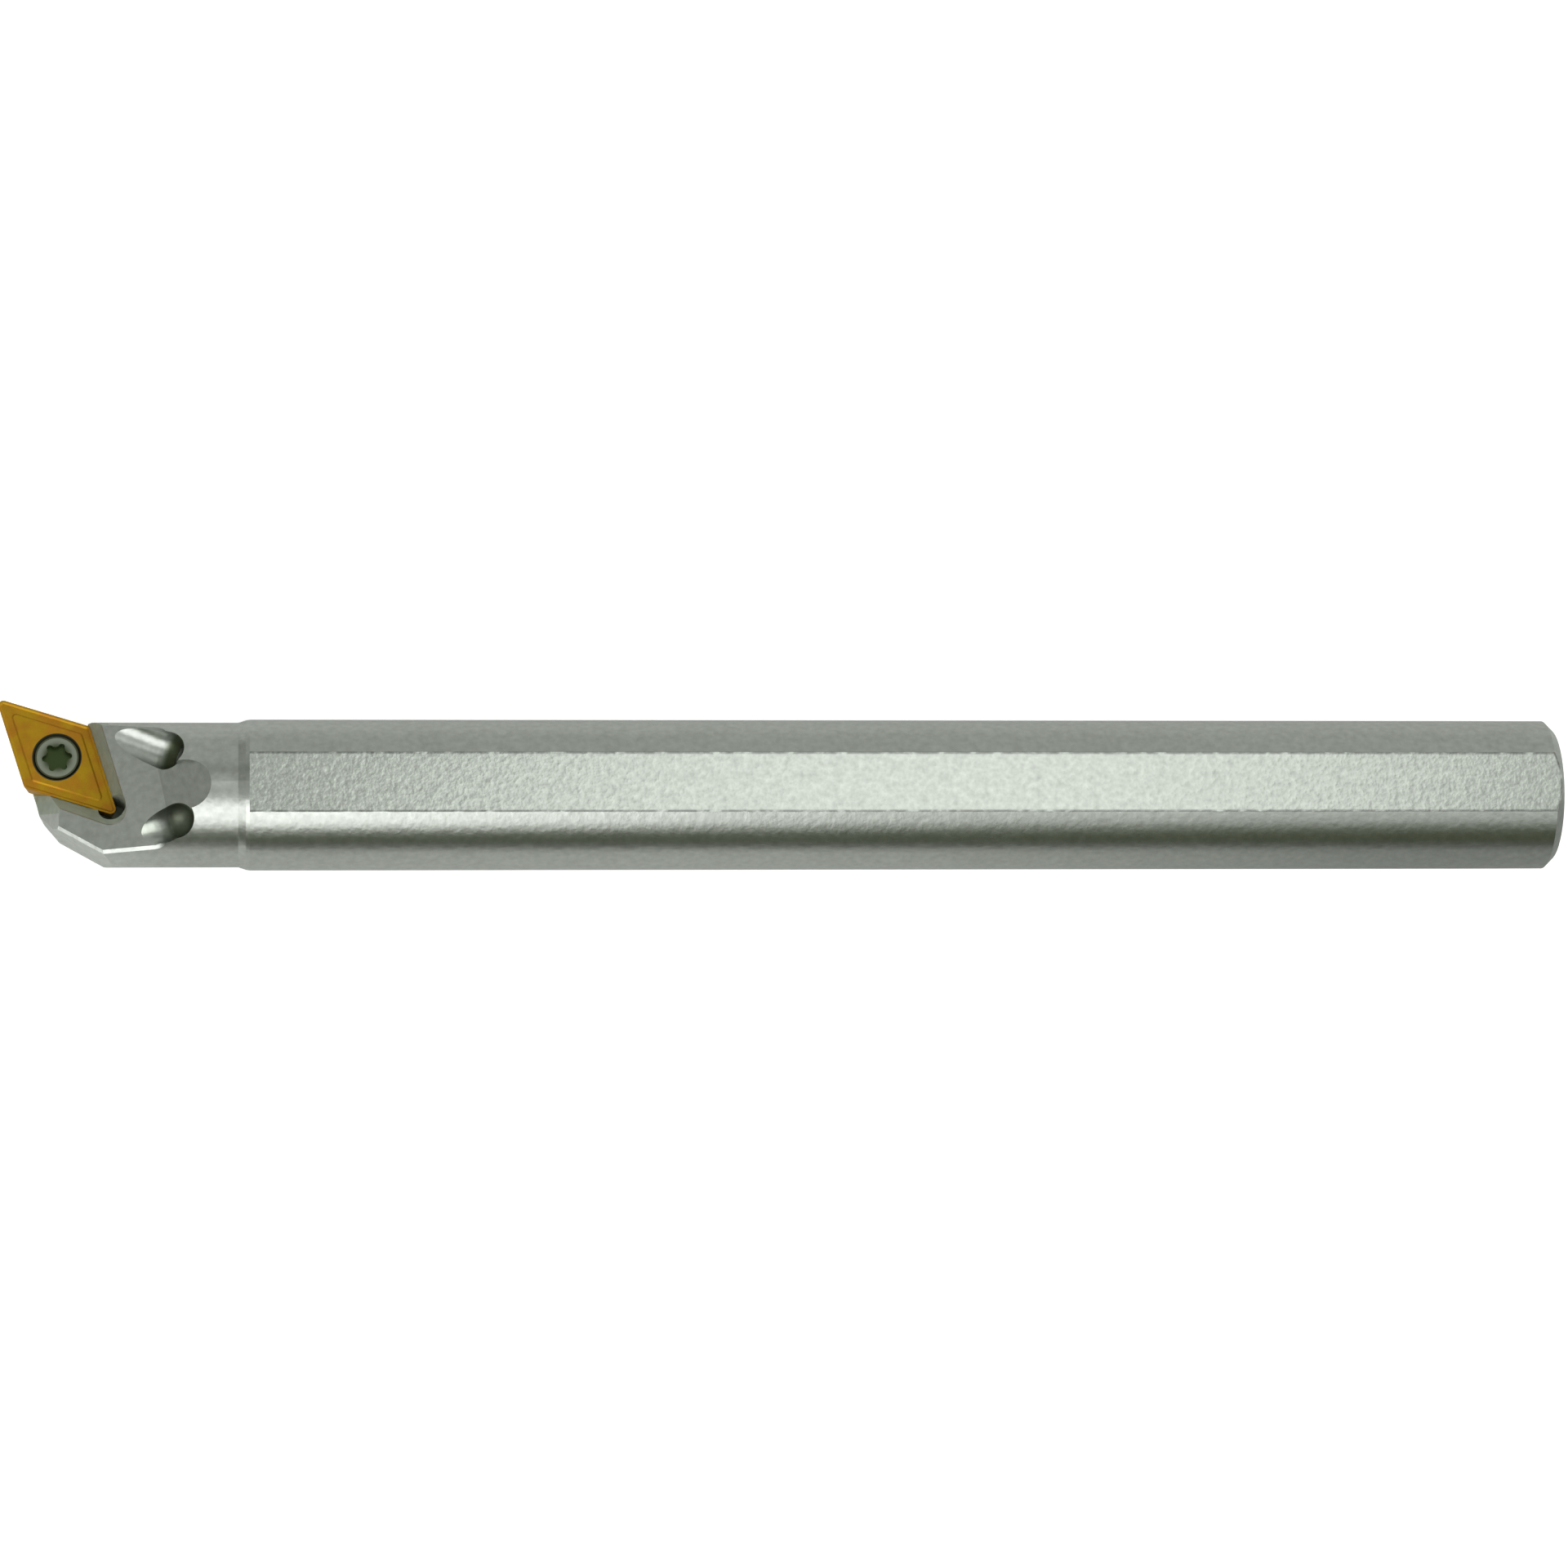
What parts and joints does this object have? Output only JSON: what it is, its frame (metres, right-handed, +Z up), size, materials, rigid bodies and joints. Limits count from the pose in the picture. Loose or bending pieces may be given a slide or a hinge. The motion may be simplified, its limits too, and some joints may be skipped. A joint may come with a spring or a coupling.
{
  "type": "indexable internal turning bar (boring bar)",
  "caption": "Round steel boring bar with two clamping flats, an offset head with a rhombic insert held by a countersunk screw, and internal coolant.",
  "frame": {"origin": "on the shank axis at the rear end face", "axes": "+X along the shank axis, from the head toward the rear end; +Y to the side of the cutting nose; +Z up from the rake face and the upper clamping flat"},
  "size_m": [0.125, 0.0136, 0.012],
  "materials": {
    "bar_steel": "satin nickel grey, fine matte grain on the flats and the head",
    "coated_carbide": "gold coating, satin, a little darker along the edges",
    "screw_steel": "satin, dark in the drive recess"
  },
  "bodies": {
    "root": {"bar_body": "bar_steel", "insert": "coated_carbide", "insert_screw": "screw_steel"}
  },
  "joints": []
}
